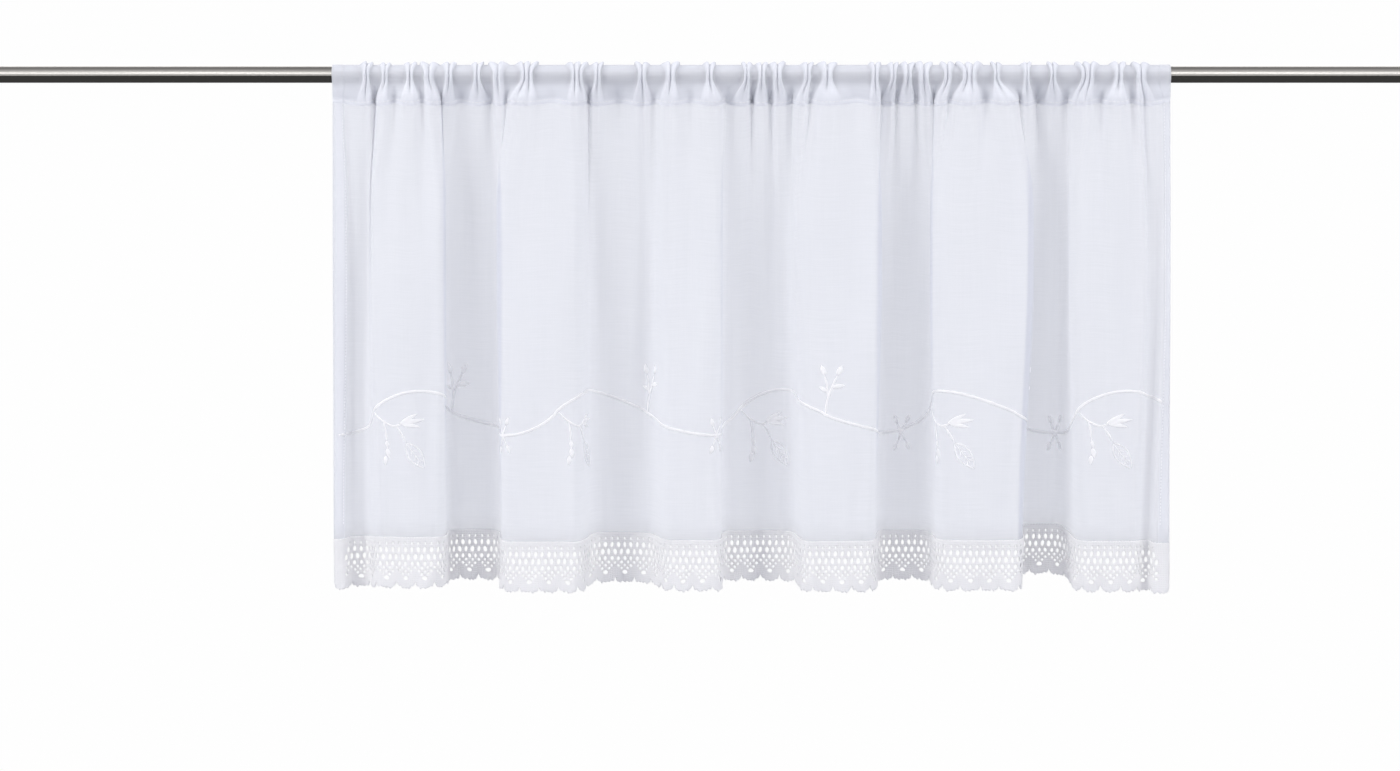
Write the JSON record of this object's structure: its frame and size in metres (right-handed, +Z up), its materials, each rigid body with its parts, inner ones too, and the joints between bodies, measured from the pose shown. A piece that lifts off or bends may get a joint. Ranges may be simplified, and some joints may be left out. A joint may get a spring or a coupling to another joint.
{
  "type": "cafe curtain on its rod",
  "caption": "Sheer rod-pocket cafe curtain with side hems and a scalloped crochet lace edging, hanging in soft folds from a plain round rod.",
  "frame": {"origin": "on the rod's axis, above the middle of the curtain and midway between the rod's two ends", "axes": "+X along the rod, to the right seen from the front; the front faces -Y; +Z up"},
  "size_m": [1.5, 0.052, 0.5045],
  "materials": {
    "rod_steel": "satin",
    "voile": "sheer plain weave, white",
    "lace": "matt crocheted cotton, white"
  },
  "bodies": {
    "root": {"rod": "rod_steel", "panel": "voile", "lace_edging": "lace"}
  },
  "joints": []
}
